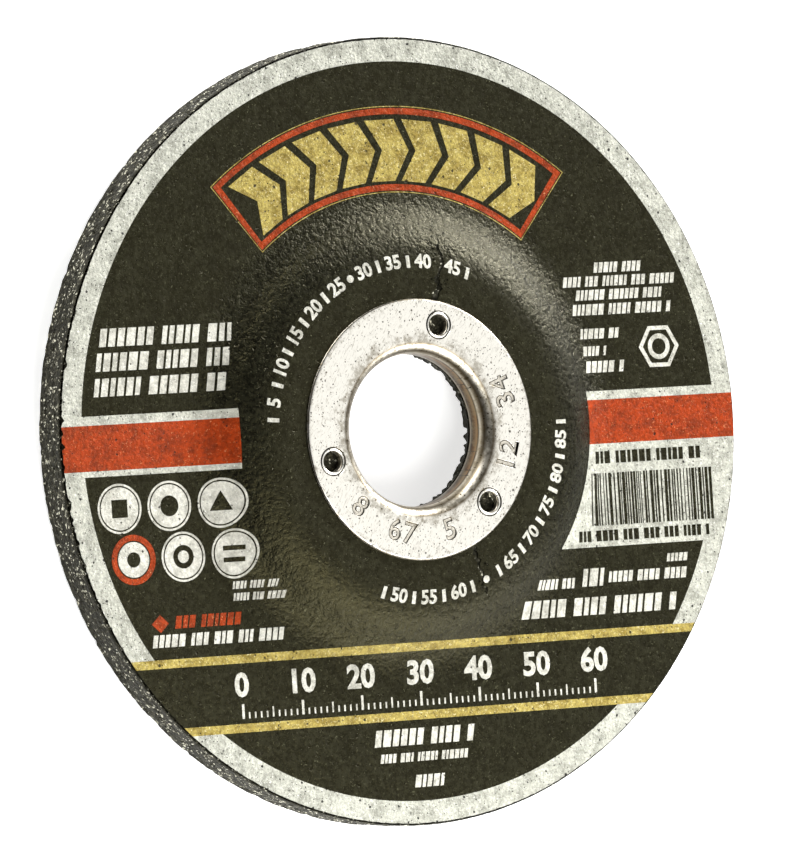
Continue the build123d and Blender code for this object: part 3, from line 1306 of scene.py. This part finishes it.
        fields = self.fields()
        tears = [self.crack(77.5, 18.2, 28.8, 1.6), self.crack(-66.5, 18.2, 27.4, 1.3)]
        for degrees, count in ((77.5, 26), (-66.5, 14)):
            tears += self.crumbs(degrees, 20.0, 29.5, count)
        holed = {"sheet": fields["sheet"], "hole": [circle(self.hole_r, 240)], "tears": tears}
        orange_loops = {**fields, "marks": self.orange_marks()}
        frame = [arc_patch(34.7, 47.3, 50.65, 129.35), arc_patch(34.82, 47.18, 50.8, 129.2)]
        gold_loops = {**fields, "marks": self.chevrons() + frame}
        light_loops, dark_loops = {"marks": self.light_marks()}, {"marks": self.dark_marks()}
        top = self.paper_t
        ink = (top, top + self.ink_t)
        for name, loops, keep, (low, high), material, slot, *nodes in (
            ("label_paper", holed, lambda at: at == {"sheet"}, (0.0, top), black, Slot.BLACK, "paper_label"),
            ("print_light_fields", fields, is_light, ink, light, Slot.LIGHT, "light_print"),
            ("print_orange_fields", orange_loops, is_orange, ink, orange, Slot.ORANGE, "orange_print"),
            ("print_gold_fields", gold_loops, is_gold, ink, gold, Slot.GOLD, "gold_print"),
            ("print_light_marks", light_loops, bool, ink, white, Slot.LIGHT),
            ("print_dark_marks", dark_loops, bool, (top + 0.5 * self.ink_t, top + self.mark_t), black, Slot.BLACK),
        ):
            dress(self.sheet(name, loops, keep, low, high, material), slot, *nodes)


@dataclass(frozen=True)
class CentreRing:
    """The pressed steel ring: flange, rolled lip, collar, three pierced holes and stamped figures."""

    bore_r: float = 11.115
    sheet_t: float = 0.45
    top_z: float = 10.95
    lip_r: float = 2.285
    collar_end_z: float = 6.315
    hole_circle_r: float = 15.56
    hole_turn: float = 74.5
    hole_count: int = 3
    tube_r: float = 1.75
    tube_depth: float = 1.1
    stamp_r: float = 15.3
    stamp_size: float = 4.3
    segments: int = 288
    hole_segments: int = 48
    stamps: tuple[tuple[str, float], ...] = (
        ("12", -17.0), ("34", 19.0), ("5", 285.0), ("67", 254.0), ("8", 224.0),
    )

    def outline(self) -> Loop:
        """The section's closed outline: out along the flange, back under it, down the collar and up its inside."""
        top, under = self.top_z, self.top_z - self.sheet_t
        middle = (self.bore_r + self.lip_r, self.top_z - self.lip_r)
        points: Loop = [(r, top) for r in (13.4, 13.6, 14.0, 15.6, 17.2, 18.2)]
        points += [(18.55, top - 0.005), (18.78, top - 0.035), (18.92, top - 0.1), (18.985, top - 0.19)]
        points += [(19.0, top - 0.28), (18.98, under + 0.08), (18.92, under + 0.02), (18.8, under)]
        points += [(r, under) for r in (17.0, 15.0, 13.9)]
        arcs = [
            [(middle[0] + x, middle[1] + y) for x, y in (polar(radius, a) for a in angles)]
            for radius, angles in (
                (self.lip_r - self.sheet_t, [90 + 7.5 * step for step in range(13)]),
                (self.lip_r, [180 - 6 * step for step in range(16)]),
            )
        ]
        out_r, end = self.bore_r + self.sheet_t, self.collar_end_z
        points += arcs[0]
        points += [(out_r, 7.4), (out_r, end + 0.12), (out_r - 0.08, end + 0.03), (out_r - 0.22, end)]
        points += [(self.bore_r + 0.08, end + 0.04), (self.bore_r, end + 0.16), (self.bore_r, 7.4)]
        return (points + arcs[1])[::-1]

    def turned(self, outline: Sequence[Point], middle: Point) -> Object:
        """Makes a helper solid: an open outline turned about a hole's axis, with flat ends."""
        segments = self.hole_segments
        last = (len(outline) - 1) * segments
        faces = turned_faces(len(outline), segments)[:last]
        faces += [tuple(reversed(range(segments))), tuple(range(last, last + segments))]
        return make_piece("cutter", turned_points(outline, segments, middle), faces, bpy.data.materials[0], 0.0)

    def stamp(self, text: str, degrees: float) -> Object:
        """Makes the punch that stamps figures, wider towards its top."""
        mesh = figures_mesh(
            text, self.stamp_size, space_character=1.15, extrude=0.1, bevel_depth=0.2, bevel_resolution=0, offset=-0.04
        )
        x, y = Vector(polar(1.0, degrees))
        rows = ((-y, -x, 0.0, x * self.stamp_r), (x, -y, 0.0, y * self.stamp_r), (0.0, 0.0, 0.5, self.top_z))
        mesh.transform(Matrix((*rows, (0.0, 0.0, 0.0, 1.0))))
        mesh.transform(Matrix.Scale(MM, 4))
        return in_scene("punch", mesh)

    def build(self, finish: TinnedSteel) -> Object:
        """Makes the ring.

        Args:
            finish: Its finish.

        Returns:
            The piece.
        """
        outline, sharp, top = self.outline(), math.radians(35), self.top_z
        points, faces = turned_points(outline, self.segments), turned_faces(len(outline), self.segments)
        ring = make_piece("centre_ring_pressed", points, faces, finish.build(), sharp)
        tube = [(self.tube_r, top - self.tube_depth), (self.tube_r, top - 0.2)]
        funnel = [(1.45, top - 1.3), (1.45, top - 0.42), (1.48, top - 0.26), (1.54, top - 0.13), (1.64, top - 0.04)]
        funnel += [(1.76, top - 0.012), (1.86, top - 0.03), (1.93, top - 0.09), (2.0, top - 0.12)]
        funnel += [(2.07, top - 0.1), (2.15, top + 0.01), (2.2, top + 0.5)]
        helpers = []
        for number in range(self.hole_count):
            middle = polar(self.hole_circle_r, self.hole_turn + number * 360 / self.hole_count)
            helpers += [(self.turned(tube, middle), "UNION"), (self.turned(funnel, middle), "DIFFERENCE")]
        helpers += [(self.stamp(text, degrees), "DIFFERENCE") for text, degrees in self.stamps]
        for helper, operation in helpers:
            modifier = ring.modifiers.new(operation, "BOOLEAN")
            modifier.operation, modifier.solver = operation, "EXACT"
            modifier.use_self = helper.name.startswith("punch")
            modifier.object = helper
        plain_mesh(ring)
        for helper, _ in helpers:
            bpy.data.objects.remove(helper)
        while len(ring.data.materials) > 1:
            ring.data.materials.pop()
        ring.data.shade_smooth()
        ring.data.set_sharp_from_angle(angle=sharp)
        dress(ring, Slot.STEEL, "centre_ring")
        return ring


@dataclass(frozen=True)
class Studio:
    """Floor, lights and camera."""

    eye: tuple[float, float, float] = (-737.343, -13.715, 1220.665)
    right: tuple[float, float, float] = (0.85358, -0.06351, 0.51707)
    down: tuple[float, float, float] = (-0.04889, -0.99793, -0.04188)
    forward: tuple[float, float, float] = (0.51866, 0.01047, -0.85492)
    lens: float = 416.0
    half_floor: float = 3000.0

    def floor(self) -> None:
        """Lays the floor under the disc."""
        half = self.half_floor
        corners = [(x * half, y * half, 0.0) for x, y in ((-1, -1), (1, -1), (1, 1), (-1, 1))]
        make_piece("floor", np.array(corners), [(0, 1, 2, 3)], LightTable("opal_light_table").build(), 0.0)

    def lamp(self, name: str, towards: tuple[float, float, float], away: float, size: Point, power: float) -> None:
        """Hangs an oblong soft light that faces the disc.

        Args:
            name: The light's name.
            towards: Direction from the disc to the light.
            away: Its distance in metres.
            size: Its width and height in metres.
            power: Its power in watts.
        """
        light = bpy.data.lights.new(name, "AREA")
        light.shape, light.energy = "RECTANGLE", power
        light.size, light.size_y = size
        holder = in_scene(name, light)
        direction = Vector(towards).normalized()
        holder.location = direction * away
        holder.rotation_euler = direction.to_track_quat("Z", "Y").to_euler()

    def camera(self) -> None:
        """Sets the camera at the photograph's place."""
        data = bpy.data.cameras.new("camera")
        data.lens, data.sensor_width, data.clip_end = self.lens, 36.0, 20.0
        camera = in_scene("camera", data)
        rows = [(self.right[i], -self.down[i], -self.forward[i], self.eye[i] * MM) for i in range(3)]
        camera.matrix_world = Matrix((*rows, (0.0, 0.0, 0.0, 1.0)))
        bpy.context.scene.camera = camera

    def build(self) -> None:
        """Sets up the studio."""
        self.floor()
        self.camera()
        for lamp in (
            ("overhead_panel", (0.52, 0.01, 0.855), 1.0, (1.0, 1.0), 3.3),
            ("edge_softbox", (0.74, 0.62, 0.24), 0.9, (0.55, 0.1), 15.5),
            ("back_softbox", (-0.4, 0.85, 0.22), 0.9, (0.5, 0.3), 7.0),
            ("low_softbox", (0.15, -0.8, 0.55), 0.35, (0.2, 0.2), 0.95),
            ("low_spot", (-0.1, -0.55, 0.83), 0.2, (0.08, 0.08), 0.16),
            ("low_right_softbox", (0.6, -0.6, 0.35), 0.7, (0.4, 0.3), 2.6),
        ):
            self.lamp(*lamp)
        scene = bpy.context.scene
        scene.world = bpy.data.worlds.new("pale_studio")
        scene.world.use_nodes = True
        feed(scene.world.node_tree.nodes["Background"], {"Color": linear("#f2f2ef"), "Strength": 0.04})
        scene.view_settings.view_transform = "Standard"
        scene.view_settings.look = "None"


def scatter_grains(dish: Dish) -> None:
    """Scatters grains over the rim and the working side."""
    crystal = CorundumGrain("crushed_corundum").build()
    rim = turned_band("rim_grains", [(57.0, 0.35), (57.18, 0.9), (57.18, 5.6), (57.0, 5.95)], crystal)
    GrainScatter("grains_on_rim", 0.27, 3.2, 4).build(rim, crystal)
    radii = [12.0, 16.0, 22.0, *np.linspace(23, 31, 7), 33.0, 45.0, 56.4]
    face = turned_band("face_grains", [(r, dish.face(r) + 0.42) for r in radii], crystal)
    GrainScatter("grains_on_face", 0.42, 0.9, 9).build(face, crystal)


def main() -> None:
    """Builds the disc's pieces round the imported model."""
    logging.basicConfig(level=logging.INFO, format="%(name)s: %(message)s")
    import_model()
    dish = Dish()
    Studio().build()
    AbrasiveBody(dish).build(BondedGrit("bonded_corundum_grit"))
    scatter_grains(dish)
    GlassNet(dish).build(GlassRoving("resin_soaked_glass_fibre"))
    PrintedLabel(dish).build()
    CentreRing().build(TinnedSteel("tinned_steel_sheet"))


if __name__ == "__main__":
    main()
